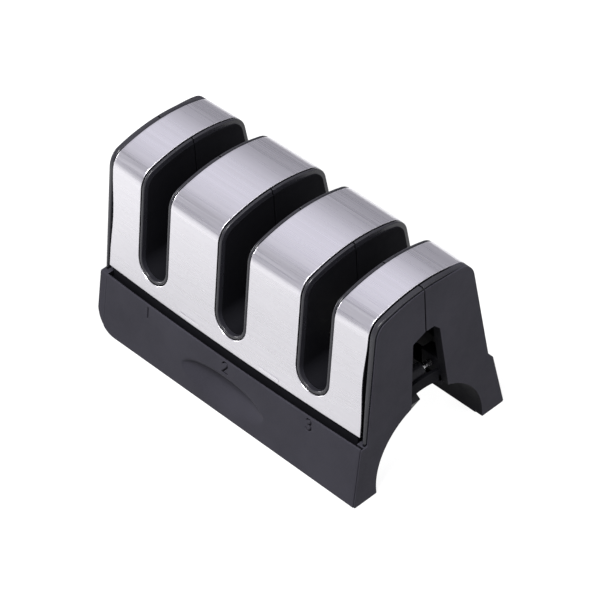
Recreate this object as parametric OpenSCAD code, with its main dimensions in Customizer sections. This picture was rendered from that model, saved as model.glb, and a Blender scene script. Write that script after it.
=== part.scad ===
// Three-stage knife sharpener head: a saddle-shaped housing with three knife
// slots, a folded steel cover over the top, and the abrasives in the slots.
// +X runs along the length from slot 1 to slot 3, -Y is the front with the
// numbered skirt, +Z is up. The origin is on the table under the centre.

/* [Housing] */
// Length over the two end walls
body_len = 82.6; // [81.6:0.2:84]
// Depth over the feet, front to back
foot_depth = 45.4; // [45:0.2:47]
// Height of the crown above the table
crown_h = 47.8; // [47.4:0.1:48.6]
// Height of the skirt
skirt_h = 15.1; // [14.6:0.1:15.4]
// Depth over the top edge of the skirt
skirt_top_depth = 40.4; // [40:0.1:41]
// Wall thickness of the two housing halves
wall = 1.8; // [1.6:0.1:2]
// Gap between the two housing halves at the seam
seam = 0.06; // [0.04:0.02:0.1]
// Corner radius of the feet at the nose end
nose_r = 6; // [4:0.5:7]
// Length of the oval finger rests in the skirt
rest_w = 25.4; // [20:0.2:28]
// Height of the oval finger rests
rest_h = 8.6; // [7:0.2:9]

/* [Saddle] */
// Radius of the round channel under the housing
arch_r = 16; // [15.6:0.1:16.2]
// Height of the channel's centre line
arch_z = 1.56; // [1.2:0.02:1.8]
// Width of the notch in the end walls at its foot
notch_w = 10.8; // [10:0.2:11.2]
// Width of the notch at its shoulders
notch_top_w = 7.5; // [7:0.1:8]
// Height of the notch shoulders above the table
notch_h = 34.1; // [33:0.1:34.6]

/* [Knife slots] */
// Distance between neighbouring slots
slot_pitch = 25; // [24.8:0.1:25.2]
// Clear width of a slot
slot_w = 7.6; // [7.4:0.1:7.8]
// Height of the centre of the round slot bottom
slot_z = 25; // [24.8:0.1:25.4]
// Thickness of the slot walls
liner = 1.5; // [1.4:0.1:1.6]

/* [Steel cover] */
// Sheet thickness
sheet = 0.5; // [0.4:0.05:0.6]
// Width of the openings in the sheet
cut_w = 10; // [9.8:0.1:10.2]
// Strip of housing left bare at each end
end_rim = 2.2; // [2:0.1:2.4]
// Height of the lower edge of the sheet
cover_z = 16.75; // [16.6:0.05:16.9]

/* [Grinding wheels] */
// Outer diameter of the wheels
wheel_d = 11; // [10.6:0.1:11.2]
// Diameter at the bottom of the vee between two wheels
vee_root_d = 5.4; // [5.2:0.1:5.8]
// Half of the angle of the vee
vee_half = 20; // [15:1:22]
// Diameter of the axles
axle_d = 2.5; // [2.4:0.1:2.6]
// Height of the axles
axle_z = 24.5; // [24.4:0.1:24.8]
// Radial running clearance
run = 0.05; // [0.03:0.01:0.08]

/* [Carbide blades] */
// Thickness of a blade
blade_t = 1.4; // [1.2:0.1:1.5]
// Width of a blade
blade_w = 3.4; // [3:0.1:3.6]
// Length of a blade
blade_l = 10.6; // [10:0.1:11]
// Lean of a blade from upright
blade_lean = 20; // [17:1:22]

/* [Latches] */
// Distance of the latch pins from the middle
latch_x = 36.6; // [36.4:0.1:36.8]
// Height of the latch pins
latch_z = 20.4; // [20.2:0.1:20.6]
// Length of the latch finger below its pin
latch_len = 10.2; // [10:0.1:10.5]

/* [Hidden] */
$fn = 96;

hx = body_len / 2;            // half the length
slots = [-slot_pitch, 0, slot_pitch];
sw = slot_w / 2;              // half the clear width of a slot
cw = cut_w / 2;               // half the width of a sheet opening
bead = 1.25;                  // depth of the raised bead along the rims
step = 0.22;                  // height of the step beside a bead
gap = 0.25;                   // gap between bead and sheet
end_t = 2.2;                  // thickness of an end wall
skin = 1.5;                   // thickness of the saddle skin
leg_t = 2.2;                  // thickness of the skirt

// Outline of the upper housing, seen along X: two leaning flanks, a crown of
// radius crown_r and two shoulders of radius sh_r tangent to both.
crown_r = 42;
crown_c = crown_h - crown_r;  // height of the crown's centre
sh_r = 5;
flank = 21.7;                 // where a flank would meet the table
lean = 0.147;                 // how far a flank leans in per unit of height
la = atan(lean);
// centre of the shoulder arc
q_a = flank - sh_r / cos(la);
q_b = q_a * lean + crown_c;
q_c = q_a * q_a + crown_c * crown_c - pow(crown_r - sh_r, 2);
sh_z = (q_b + sqrt(q_b * q_b - (1 + lean * lean) * q_c)) / (1 + lean * lean);
sh_y = q_a - lean * sh_z;
function flank_y(z, d) = flank - lean * z - d / cos(la);
sh_len = sqrt(sh_y * sh_y + pow(sh_z - crown_c, 2));
sh_u = [sh_y / sh_len, (sh_z - crown_c) / sh_len];

// A bar of polygon section along X, given as points of [Y, Z]
module bar_x(x0, x1, pts) translate([x0, 0, 0]) rotate([90, 0, 90]) linear_extrude(x1 - x0) polygon(pts);
// A round bar along X
module rod_x(x0, x1, y, z, r) translate([x0, y, z]) rotate([0, 90, 0]) cylinder(h = x1 - x0, r = r);
// A round bar along Y
module rod_y(y0, y1, x, z, r) translate([x, y0, z]) rotate([-90, 0, 0]) cylinder(h = y1 - y0, r = r);
module box(x0, x1, y0, y1, z0, z1) translate([x0, y0, z0]) cube([x1 - x0, y1 - y0, z1 - z0]);

// The upper housing's outline drawn in by d, from x0 to x1, down to z0
module hood(x0, x1, d, z0) {
  r = sh_r - d;
  ty = sh_y + r * cos(la);
  tz = sh_z + r * sin(la);
  bar_x(x0, x1, [[-flank_y(z0, d), z0], [-ty, tz], [-sh_y, sh_z], [sh_y, sh_z], [ty, tz], [flank_y(z0, d), z0]]);
  for (s = [-1, 1]) rod_x(x0, x1, s * sh_y, sh_z, r);
  intersection() {
    rod_x(x0, x1, 0, crown_c, crown_r - d);
    bar_x(x0, x1, [[-sh_y, sh_z], [-sh_y - 12 * sh_u[0], sh_z + 12 * sh_u[1]],
      [sh_y + 12 * sh_u[0], sh_z + 12 * sh_u[1]], [sh_y, sh_z]]);
  }
}

// A slot-shaped bar along Y: round below, open above, half width w
module slot_bar(x, w, y0, y1, top = 60) {
  rod_y(y0, y1, x, slot_z, w);
  box(x - w, x + w, y0, y1, slot_z, top);
}

// Skirt and legs as one block
module leg_block() {
  f = foot_depth / 2;
  s = skirt_top_depth / 2;
  difference() {
    bar_x(-hx, hx, [[-f, 0], [-s, skirt_h], [s, skirt_h], [f, 0]]);
    // rounded lower corner of the feet at the nose end
    difference() {
      box(-hx - 1, -hx + nose_r, -f - 1, f + 1, -1, nose_r);
      rod_y(-f - 2, f + 2, -hx + nose_r, nose_r, nose_r);
    }
  }
}

// Everything outside, with no hollow in it
module outer_block() {
  leg_block();
  hood(-hx + end_rim + 0.5, hx - end_rim - 0.5, sheet + 0.05, skirt_h - 1);
  // end walls, and the bead around them
  for (s = [-1, 1]) {
    hood(min(s * hx, s * (hx - 3)), max(s * hx, s * (hx - 3)), bead, skirt_h - 1);
    hood(min(s * (hx - step), s * (hx - end_rim + gap)), max(s * (hx - step), s * (hx - end_rim + gap)), 0.12, skirt_h - 1);
  }
  // beads around the slots
  intersection() {
    hood(-hx + 3, hx - 3, 0.12, skirt_h + 1);
    union() { for (x = slots) slot_bar(x, cw - gap, -30, 30); }
  }
}

// Hollow of the housing, before anything is put back into it
module hollow() {
  f = foot_depth / 2 - leg_t;
  s = skirt_top_depth / 2 - leg_t;
  hood(-hx + end_t, hx - end_t, sheet + 0.05 + wall, skirt_h - 1.5);
  bar_x(-hx + end_t, hx - end_t, [[-f - 0.2, -1], [-s, skirt_h - 0.5], [s, skirt_h - 0.5], [f + 0.2, -1]]);
}

module boss_y(x, z, r) rod_y(-30, 30, x, z, r);
screw_at = [[-34.6, 39.2], [-12.5, 39.2], [12.5, 39.2], [34.6, 39.2], [-12.5, 24], [12.5, 24]];

// What stands in the hollow: saddle skin, slot walls, bosses and ribs
module inner_work() {
  rod_x(-hx, hx, 0, arch_z, arch_r + skin);
  for (x = slots) slot_bar(x, sw + liner, -30, 30);
  for (p = screw_at) boss_y(p[0], p[1], 2.7);
  // ribs that tie the bosses between the slots to the saddle
  for (x = [-12.5, 12.5]) box(x - 0.7, x + 0.7, -30, 30, 15, 39.2);
  // axle bosses either side of slots 2 and 3
  for (x = [slots[1], slots[2]]) rod_x(x - 8.6, x + 8.6, 0, axle_z, 3);
  // pocket around the blade holder in slot 1
  box(slots[0] - 9, slots[0] + 9, -6, 6, 16, 32);
  // bearings of the latch pins
  for (s = [-1, 1]) for (t = [-1, 1])
    box(s * latch_x - 2.4, s * latch_x + 2.4, t * 7 - 1.6, t * 7 + 1.6, 14, 23);
}

// Notch in an end wall: its rear side stands a little further out, with the
// upper corner cut off
module notch(x0, x1) {
  w = notch_w / 2;
  t = notch_top_w / 2;
  bar_x(x0, x1, [[-w + 0.28, 13.2], [-t, notch_h + 0.3], [0, notch_h + 1.6],
    [t - 1.25, notch_h + 1.45], [t + 0.3, notch_h - 0.2], [w + 0.95, 13.2]]);
}

// Everything that is cut out after the inner work is in place
module cuts() {
  rod_x(-hx - 1, hx + 1, 0, arch_z, arch_r);
  for (x = slots) {
    slot_bar(x, sw, -30, 30);
    // the wall stands back a little inside the bead
    difference() {
      slot_bar(x, sw + step, -30, 30);
      hood(x - 8, x + 8, bead, skirt_h - 2);
    }
  }
  for (s = [-1, 1]) notch(min(s * (hx + 1), s * (hx - end_t - 0.1)), max(s * (hx + 1), s * (hx - end_t - 0.1)));
  // the way up through the middle of the saddle, short of a rim at each end wall
  box(-hx + end_t + 0.8, hx - end_t - 0.8, -notch_w / 2, notch_w / 2, 10, arch_z + arch_r + skin + 0.4);
  // room for the wheels in slots 2 and 3, and their axles
  for (x = [slots[1], slots[2]]) {
    rod_x(x - sw, x + sw, 0, axle_z, wheel_d / 2 + 0.6);
    rod_x(x - 8, x + 8, 0, axle_z, axle_d / 2 + 0.02);
  }
  // room for the blade holder and its ears
  box(slots[0] - 6.5, slots[0] + 6.5, -4.1, 4.1, 10, 30.6);
  box(slots[0] - 7.9, slots[0] + 7.9, -2.1, 2.1, 22.4, 25.6);
  // latch pins
  for (s = [-1, 1]) rod_y(-7.5, 7.5, s * latch_x, latch_z, 0.77);
  // shell screws: pilot in front, clearance and counterbore behind
  for (p = screw_at) {
    rod_y(-5, 0, p[0], p[1], 1.12);
    rod_y(-0.1, 11, p[0], p[1], 1.3);
    rod_y(10, 30, p[0], p[1], 2.25);
  }
  // slits for the tabs of the steel cover
  for (x = [-12.5, 12.5]) for (s = [-1, 1])
    box(x - 3.2, x + 3.2, min(s * 13, s * 21), max(s * 13, s * 21), cover_z - 0.1, cover_z + sheet + 0.1);
}

module shell() {
  difference() {
    outer_block();
    difference() { hollow(); inner_work(); }
    cuts();
  }
}

// Oval finger rest sunk in the skirt: a ring whose rounded rim dips into the
// leaning face, so the rest is rest_w long and rest_h high at the surface.
rest_d = 1.2;                 // depth
rest_z = 6.5;                 // height of its middle
rest_ring = (pow(rest_w / 2, 2) + rest_d * rest_d) / 2 / rest_d;
rest_tube = (pow(rest_h / 2, 2) + rest_d * rest_d) / 2 / rest_d;
module finger_rest(s) {
  a = atan((foot_depth - skirt_top_depth) / 2 / skirt_h);
  translate([0, s * (foot_depth / 2 - tan(a) * rest_z), rest_z]) rotate([s * a, 0, 0])
    translate([0, s * (rest_ring - rest_d), 0])
      rotate_extrude() translate([rest_ring - rest_tube, 0]) circle(r = rest_tube);
}

module front_shell() color([0.16, 0.16, 0.17]) difference() {
  shell();
  box(-60, 60, 0, 60, -5, 60);
  finger_rest(-1);
}

module rear_shell() color([0.16, 0.16, 0.17]) difference() {
  shell();
  box(-60, 60, -60, seam, -5, 60);
  finger_rest(1);
}

module steel_cover() color([0.78, 0.78, 0.8]) {
  difference() {
    hood(-hx + end_rim, hx - end_rim, 0, cover_z);
    hood(-hx, hx, sheet, cover_z - 1);
    for (x = slots) slot_bar(x, cw, -30, 30);
  }
  // tabs bent in at the lower edges
  for (x = [-12.5, 12.5]) for (s = [-1, 1]) {
    y = flank_y(cover_z, sheet / 2);
    box(x - 3, x + 3, min(s * y, s * (y - 3)), max(s * y, s * (y - 3)), cover_z, cover_z + sheet);
  }
}

// self-tapping screw along Y with its head at the rear
module screw_y(x, z, y, r, len, hr, hh) {
  difference() {
    union() {
      rod_y(y - len + 1, y, x, z, r);
      translate([x, y - len, z]) rotate([-90, 0, 0]) cylinder(h = 1, r1 = r * 0.3, r2 = r);
      rod_y(y, y + hh, x, z, hr);
    }
    for (a = [0, 90]) translate([x, y + hh, z]) rotate([0, a, 0])
      cube([hr * 1.3, hh, hr * 0.3], center = true);
  }
}

module shell_screws() color([0.6, 0.6, 0.62]) for (p = screw_at) screw_y(p[0], p[1], 10, 1.1, 14, 2, 1.5);

// The two carbide blades cross in the middle of slot 1 and form a vee
vee_z = 24.6;                 // height of the bottom of the vee
module blade_at(s, y0, y1, grow = 0) {
  translate([slots[0], 0, vee_z]) rotate([0, s * blade_lean, 0])
    box(min(0, -s * (blade_w + grow)), max(0, -s * (blade_w + grow)), y0, y1, -3.2 - grow, blade_l - 3.2 + grow);
}
module carbide_blade_front() color([0.5, 0.5, 0.52]) difference() {
  blade_at(-1, -blade_t - 0.03, -0.03);
  blade_edge(-1);
}
module carbide_blade_rear() color([0.5, 0.5, 0.52]) difference() {
  blade_at(1, seam, blade_t + seam);
  blade_edge(1);
}
// bevel ground along the edge of a blade
module blade_edge(s) {
  translate([slots[0], s * (blade_t + 0.05), vee_z]) rotate([0, s * blade_lean, 0]) rotate([0, 0, s * -35])
    box(min(s * 0.0, s * 3), max(s * 0.0, s * 3), -2, 2, -6, 12);
}

holder_screw_at = [[slots[0] - 4.9, 20.4], [slots[0] + 4.9, 20.4]];
module holder(y0, y1) {
  difference() {
    union() {
      box(slots[0] - 6.4, slots[0] + 6.4, y0, y1, 18.2, 30.4);
      box(slots[0] - 7.8, slots[0] + 7.8, max(y0, -2), min(y1, 2), 22.5, 25.5);
    }
    // the way through for the knife
    rod_y(-9, 9, slots[0], slot_z + 0.6, sw);
    box(slots[0] - sw, slots[0] + sw, -9, 9, slot_z + 0.6, 40);
    // round channel below
    rod_x(slots[0] - 9, slots[0] + 9, 0, arch_z, arch_r + 0.2);
  }
}
module holder_front() color([0.75, 0.75, 0.72]) difference() {
  holder(-4, -0.03);
  blade_at(-1, -blade_t - 0.08, 1, 0.05);
  for (p = holder_screw_at) rod_y(-3.2, 1, p[0], p[1], 0.82);
}
module holder_rear() color([0.75, 0.75, 0.72]) difference() {
  holder(seam, 4);
  blade_at(1, -1, blade_t + seam + 0.05, 0.05);
  for (p = holder_screw_at) { rod_y(-1, 5, p[0], p[1], 0.95); rod_y(2.8, 5, p[0], p[1], 1.65); }
}
module holder_screws() color([0.6, 0.6, 0.62]) for (p = holder_screw_at) screw_y(p[0], p[1], 2.8, 0.8, 5.6, 1.5, 1.0);

// One wheel of a pair: a disc with a coned inner face
module wheel(x, s) {
  r1 = wheel_d / 2;
  r0 = vee_root_d / 2;
  k = (r1 - r0) * tan(vee_half);
  translate([x, 0, axle_z]) rotate([0, s * 90, 0]) rotate_extrude()
    polygon([[2.3, 0.02], [r0, 0.02], [r1, k], [r1, 3.0], [r1 - 0.25, 3.25], [2.3, 3.25]]);
}
module hub(x) translate([x, 0, axle_z]) rotate([0, 90, 0]) difference() {
  union() { cylinder(h = 7, r = 2.3, center = true); for (s = [-1, 1]) translate([0, 0, s * 3.375]) cylinder(h = 0.25, r = 3.4, center = true); }
  cylinder(h = 9, r = axle_d / 2 + run, center = true);
}
module axle(x) translate([x - 7.9, 0, axle_z]) rotate([0, 90, 0]) {
  cylinder(h = 0.4, r1 = axle_d / 2 - 0.3, r2 = axle_d / 2);
  translate([0, 0, 0.4]) cylinder(h = 15, r = axle_d / 2);
  translate([0, 0, 15.4]) cylinder(h = 0.4, r1 = axle_d / 2, r2 = axle_d / 2 - 0.3);
}
module washers(x) for (s = [-1, 1]) translate([x + s * 3.65, 0, axle_z]) rotate([0, 90, 0]) difference() {
  cylinder(h = 0.2, r = 3, center = true);
  cylinder(h = 1, r = axle_d / 2 + run, center = true);
}

module diamond_wheel_left() color([0.45, 0.45, 0.47]) wheel(slots[1], -1);
module diamond_wheel_right() color([0.45, 0.45, 0.47]) wheel(slots[1], 1);
module diamond_hub() color([0.2, 0.2, 0.22]) hub(slots[1]);
module diamond_axle() color([0.7, 0.7, 0.72]) axle(slots[1]);
module diamond_washers() color([0.75, 0.7, 0.5]) washers(slots[1]);
module ceramic_wheel_left() color([0.95, 0.94, 0.9]) wheel(slots[2], -1);
module ceramic_wheel_right() color([0.95, 0.94, 0.9]) wheel(slots[2], 1);
module ceramic_hub() color([0.2, 0.2, 0.22]) hub(slots[2]);
module ceramic_axle() color([0.7, 0.7, 0.72]) axle(slots[2]);
module ceramic_washers() color([0.75, 0.7, 0.5]) washers(slots[2]);

// Latch: a barrel on a pin along Y, with a hooked finger hanging from it.
// The side s is the end of the housing; the barb points outwards.
module latch(s) translate([s * latch_x, 0, latch_z]) difference() {
  union() {
    rod_y(-2.4, 2.4, 0, 0, 1.7);
    translate([0, 0.1, 0]) rotate([90, 0, 0]) linear_extrude(2.5)
      polygon([[-0.7 * s, 0], [-0.7 * s, -latch_len], [-0.4 * s, -latch_len], [-0.1 * s, -latch_len + 0.55],
        [2.12 * s, -latch_len + 4.3], [2.16 * s, -latch_len + 4.5], [0.7 * s, -latch_len + 5.7], [0.7 * s, 0]]);
  }
  rod_y(-5, 5, 0, 0, 0.75 + run);
}
module latch_pin(s) color([0.75, 0.75, 0.77]) rod_y(-7.3, 7.3, s * latch_x, latch_z, 0.75);
module latch_left() color([0.3, 0.3, 0.32]) latch(-1);
module latch_right() color([0.3, 0.3, 0.32]) latch(1);
module latch_pin_left() latch_pin(-1);
module latch_pin_right() latch_pin(1);

// Torsion spring on the latch pin: a coil with one short leg inwards and one
// leg down behind the finger, as one swept round wire.
coil_r = 1.3;
wire_r = 0.22;
turns = 3.25;
steps = 52;
function coil_pt(i) = let(a = 360 * turns * i / steps + 90) [coil_r * cos(a), -4.75 + 1.7 * i / steps, coil_r * sin(a)];
function spring_path() = concat([[-coil_r - 0.8, -4.75, coil_r]], [for (i = [0:steps]) coil_pt(i)],
  [[-coil_r, -3.05, -1.2], [-coil_r, -3.0, -4.4], [-coil_r + 0.2, -1.0, -5.0]]);
function unit(v) = v / norm(v);
module sweep(path, r, n = 8) {
  m = len(path);
  tan_at = [for (i = [0:m - 1]) unit(path[min(i + 1, m - 1)] - path[max(i - 1, 0)])];
  side = [for (i = [0:m - 1]) unit(cross(tan_at[i], abs(tan_at[i][1]) > 0.9 ? [1, 0, 0] : [0, 1, 0]))];
  up = [for (i = [0:m - 1]) cross(side[i], tan_at[i])];
  pts = [for (i = [0:m - 1]) for (j = [0:n - 1]) path[i] + r * (cos(360 * j / n) * side[i] + sin(360 * j / n) * up[i])];
  faces = concat(
    [[for (j = [0:n - 1]) j]],
    [for (i = [0:m - 2]) for (j = [0:n - 1]) [i * n + j, (i + 1) * n + j, (i + 1) * n + (j + 1) % n, i * n + (j + 1) % n]],
    [[for (j = [n - 1:-1:0]) (m - 1) * n + j]]);
  polyhedron(pts, faces);
}
module latch_spring_right() color([0.7, 0.7, 0.72]) translate([latch_x, 0, latch_z]) sweep(spring_path(), wire_r);
module latch_spring_left() color([0.7, 0.7, 0.72]) translate([-latch_x, 0, latch_z]) mirror([1, 0, 0]) sweep(spring_path(), wire_r);

front_shell();
rear_shell();
steel_cover();
shell_screws();
holder_front();
holder_rear();
carbide_blade_front();
carbide_blade_rear();
holder_screws();
diamond_wheel_left();
diamond_wheel_right();
diamond_hub();
diamond_axle();
diamond_washers();
ceramic_wheel_left();
ceramic_wheel_right();
ceramic_hub();
ceramic_axle();
ceramic_washers();
latch_left();
latch_right();
latch_pin_left();
latch_pin_right();
latch_spring_left();
latch_spring_right();
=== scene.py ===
import math

import bmesh
import bpy
import numpy as np
from mathutils import Matrix, Vector


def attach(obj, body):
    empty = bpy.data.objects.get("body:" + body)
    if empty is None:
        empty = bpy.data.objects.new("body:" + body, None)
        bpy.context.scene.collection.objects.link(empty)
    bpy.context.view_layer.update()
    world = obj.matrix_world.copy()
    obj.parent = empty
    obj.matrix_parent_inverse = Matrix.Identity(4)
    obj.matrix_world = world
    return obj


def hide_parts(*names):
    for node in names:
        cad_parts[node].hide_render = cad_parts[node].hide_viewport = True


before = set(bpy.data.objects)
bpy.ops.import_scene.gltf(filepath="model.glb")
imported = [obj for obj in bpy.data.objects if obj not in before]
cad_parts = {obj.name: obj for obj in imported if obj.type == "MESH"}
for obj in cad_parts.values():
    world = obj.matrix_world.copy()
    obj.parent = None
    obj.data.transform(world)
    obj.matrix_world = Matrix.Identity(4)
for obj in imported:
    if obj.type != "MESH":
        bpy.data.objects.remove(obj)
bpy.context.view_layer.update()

MM = 0.001
rad = math.radians

# ---------------------------------------------------------------- the housing's outline, in millimetres
HX = 41.3                      # half the length
FLANK, LEAN = 21.7, 0.147      # a leaning flank
LA = math.atan(LEAN)
CR, CC, SR = 42.0, 5.8, 5.0    # crown radius and centre, shoulder radius
_qa = FLANK - SR / math.cos(LA)
_qb = _qa * LEAN + CC
_qc = _qa ** 2 + CC ** 2 - (CR - SR) ** 2
SZ = (_qb + math.sqrt(_qb ** 2 - (1 + LEAN ** 2) * _qc)) / (1 + LEAN ** 2)
SY = _qa - LEAN * SZ
A_C = math.atan2(SZ - CC, SY)  # slope at which shoulder and crown meet
Z_T = SZ + SR * math.sin(LA)   # height at which flank and shoulder meet
SLOTS = (-25.0, 0.0, 25.0)
SLOT_Z = 25.12
LEDGE = 15.1
REAR_Z = 17.0                   # at the rear an end wall slopes out from this height down to its leg
FOOT = 22.7
ARCH_R, ARCH_Z = 16.0, 1.56
NOSE = 6.0
SEAM = 0.16                    # half the gap between the two halves


def flank_y(z, d=0.0):
    return FLANK - LEAN * z - d / math.cos(LA)


def bow(x):
    """How far the flanks draw in towards the two ends."""
    return 0.7085 * (x / 37.5) ** 2


def top_y(x):
    return 20.57 - 0.86 * (x / HX) ** 2


def leg_y(x, z):
    return FOOT - z / LEDGE * (FOOT - top_y(x))


def foot_z(x):
    """Height of the lower edge of the legs: zero but for the rounded nose."""
    k = -HX + NOSE
    if x >= k:
        return 0.0
    return NOSE - math.sqrt(max(NOSE ** 2 - (x - k) ** 2, 0.0))


# rows of the outline: (y, z, ny, nz), front half, with the bow left out
def row_flank(z):
    return (-(FLANK - LEAN * z), z, -math.cos(LA), math.sin(LA))


def row_shoulder(a):
    return (-SY - SR * math.cos(a), SZ + SR * math.sin(a), -math.cos(a), math.sin(a))


def row_crown(a):
    return (-CR * math.cos(a), CC + CR * math.sin(a), -math.cos(a), math.sin(a))


def at(x, row, d):
    """The point at x on a row, drawn in by d."""
    y, z, ny, nz = row
    s = -1.0 if y < 0 else 1.0
    return (x, y - d * ny - s * bow(x) * abs(ny), z - d * nz)


def upper_rows(n_flank=9, n_sh=14, n_cr=12, seam=(0.0, 0.05, 0.12, 0.25)):
    """Rows above the round slot bottoms up to the middle of the crown, each with its distance from the middle."""
    rows = [(row_flank(z), 99.0) for z in np.linspace(SLOT_Z, Z_T, n_flank)]
    rows += [(row_shoulder(a), 99.0) for a in np.linspace(LA, A_C, n_sh)[1:]]
    last = math.pi / 2 - seam[-1] / CR
    for a in np.linspace(A_C, last, n_cr)[1:]:
        rows.append((row_crown(a), (math.pi / 2 - a) * CR))
    for s in reversed(seam[:-1]):
        rows.append((row_crown(math.pi / 2 - s / CR), s))
    return rows


# ---------------------------------------------------------------- mesh helpers
class Solid:
    """Closed solid collected from patches of quads, welded where their points meet."""

    def __init__(self):
        self.v, self.f, self.n = [], [], 0

    def add(self, pts, faces):
        pts = np.asarray(pts, float).reshape(-1, 3)
        self.v.append(pts)
        self.f += [tuple(i + self.n for i in f) for f in faces]
        self.n += len(pts)
        return self

    def grid(self, P, close_u=False, close_v=False):
        P = np.asarray(P, float)
        m, n = P.shape[:2]
        F = []
        for i in range(m if close_u else m - 1):
            for j in range(n if close_v else n - 1):
                a, b = i * n + j, i * n + (j + 1) % n
                c, d = ((i + 1) % m) * n + (j + 1) % n, ((i + 1) % m) * n + j
                F.append((a, b, c, d))
        return self.add(P, F)

    def cap(self, ring):
        return self.add(ring, [tuple(range(len(ring)))])

    def loft(self, rings, caps=True):
        self.grid(rings, close_v=True)
        if caps:
            self.cap(rings[0])
            self.cap(rings[-1])
        return self

    def welded(self):
        V = np.concatenate(self.v)
        key = np.round(V, 4)
        _, first, inv = np.unique(key, axis=0, return_index=True, return_inverse=True)
        inv = inv.reshape(-1)
        V = V[first]
        F = []
        for f in self.f:
            g = []
            for i in f:
                k = int(inv[i])
                if not g or g[-1] != k:
                    g.append(k)
            if len(g) > 1 and g[0] == g[-1]:
                g.pop()
            if len(set(g)) >= 3 and len(set(g)) == len(g):
                F.append(tuple(g))
        return V, F


def to_object(name, solid, mirror=None):
    V, F, M = solid
    V = V.copy()
    if mirror is not None:
        # the two halves stand apart by a seam where it shows, and close up behind it
        x = np.abs(V[:, 0])
        off = np.min(np.abs(V[:, 0][:, None] - np.array(SLOTS)[None, :]), axis=1)
        behind = (V[:, 2] < 46.6) & (off > 4.5) & (x < 40.8)
        V[:, 1] = np.minimum(V[:, 1], np.where(behind, -0.01, -SEAM))
        if mirror:
            V[:, 1] *= -1
    me = bpy.data.meshes.new(name)
    me.from_pydata((V * MM).tolist(), [], F)
    me.polygons.foreach_set("material_index", M)
    bm = bmesh.new()
    bm.from_mesh(me)
    bmesh.ops.remove_doubles(bm, verts=bm.verts, dist=2e-7)
    bmesh.ops.recalc_face_normals(bm, faces=bm.faces)
    open_edges = sum(1 for e in bm.edges if len(e.link_faces) != 2)
    if open_edges:
        print("OPEN", name, open_edges)
    bm.to_mesh(me)
    bm.free()
    ob = bpy.data.objects.new(name, me)
    bpy.context.scene.collection.objects.link(ob)
    return ob


def fillet(pts, radii, n=5, tags=None):
    """Polygon with its corners rounded: each corner with a radius gets n + 1 points. With tags, also each point's tag."""
    out, mark = [], []
    m = len(pts)
    for i, (p, r) in enumerate(zip(pts, radii)):
        p = np.array(p, float)
        if tags is not None:
            mark += [tags[i]] * (1 if r <= 0 else n + 1)
        if r <= 0:
            out.append(tuple(p))
            continue
        a = np.array(pts[i - 1], float) - p
        b = np.array(pts[(i + 1) % m], float) - p
        la, lb = np.linalg.norm(a), np.linalg.norm(b)
        a, b = a / la, b / lb
        half = math.acos(max(-1, min(1, float(a @ b)))) / 2
        t = r / math.tan(half)
        t = min(t, 0.49 * la, 0.49 * lb)
        r = t * math.tan(half)
        mid = (a + b) / np.linalg.norm(a + b)
        c = p + mid * (r / math.sin(half))
        s, e = p + a * t - c, p + b * t - c
        ang = math.acos(max(-1, min(1, float(s @ e) / (r * r))))
        for k in range(n + 1):
            u = k / n
            w0 = math.sin((1 - u) * ang) / math.sin(ang)
            w1 = math.sin(u * ang) / math.sin(ang)
            out.append(tuple(c + w0 * s + w1 * e))
    return np.array(out) if tags is None else (np.array(out), np.array(mark))


def inset(poly, d):
    """Closed polygon drawn in by d, one number or one for each point, with the same number of points."""
    P = np.asarray(poly, float)
    if np.ndim(d):
        d = np.asarray(d)[:, None]
    elif d == 0:
        return P
    area = 0.5 * np.sum(P[:, 0] * np.roll(P[:, 1], -1) - np.roll(P[:, 0], -1) * P[:, 1])
    s = 1.0 if area > 0 else -1.0
    e = np.roll(P, -1, 0) - P
    ln = np.maximum(np.linalg.norm(e, axis=1, keepdims=True), 1e-9)
    e = e / ln
    nrm = np.stack([-e[:, 1], e[:, 0]], 1) * s
    n0 = np.roll(nrm, 1, 0)
    k = 1 + np.sum(n0 * nrm, axis=1, keepdims=True)
    return P + (n0 + nrm) / np.maximum(k, 0.35) * d


def round_over(r, n=4):
    """(step back along the axis, draw-in) pairs of a rounded end, from the full section to the flat end."""
    out = []
    for k in range(n + 1):
        a = math.pi / 2 * k / n
        out.append((r * (1 - math.sin(a)), r * (1 - math.cos(a))))
    return out


def prism(poly, axis, a0, a1, r0=0.0, r1=0.0):
    """Polygon extruded along an axis, with its two ends rounded over. The polygon holds the two other axes in order."""
    def place(P, a):
        P = np.asarray(P)
        c = np.full((len(P), 1), a)
        if axis == "x":
            return np.hstack([c, P])
        if axis == "y":
            return np.hstack([P[:, :1], c, P[:, 1:]])
        return np.hstack([P, c])
    rings = []
    s = 1.0 if a1 > a0 else -1.0
    if r0:
        ov = round_over(r0)
        rings.append(place(inset(poly, r0 + 0.03), a0))
        rings += [place(inset(poly, d), a0 + s * b) for b, d in reversed(ov)]
    else:
        rings.append(place(poly, a0))
    if r1:
        ov = round_over(r1)
        rings += [place(inset(poly, d), a1 - s * b) for b, d in ov]
        rings.append(place(inset(poly, r1 + 0.03), a1))
    else:
        rings.append(place(poly, a1))
    return Solid().loft(np.array(rings))


def rect(a0, a1, b0, b1, r=0.0, n=4):
    return fillet([(a0, b0), (a1, b0), (a1, b1), (a0, b1)], [r] * 4, n) if r else np.array([(a0, b0), (a1, b0), (a1, b1), (a0, b1)], float)


def disc(cy, cz, r, n=48, half=None):
    if half is None:
        return np.array([(cy + r * math.cos(2 * math.pi * k / n), cz + r * math.sin(2 * math.pi * k / n)) for k in range(n)])
    # the half below cy (half = -1)
    return np.array([(cy + half * r * math.sin(math.pi * k / n), cz + r * math.cos(math.pi * k / n)) for k in range(n + 1)])


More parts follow.
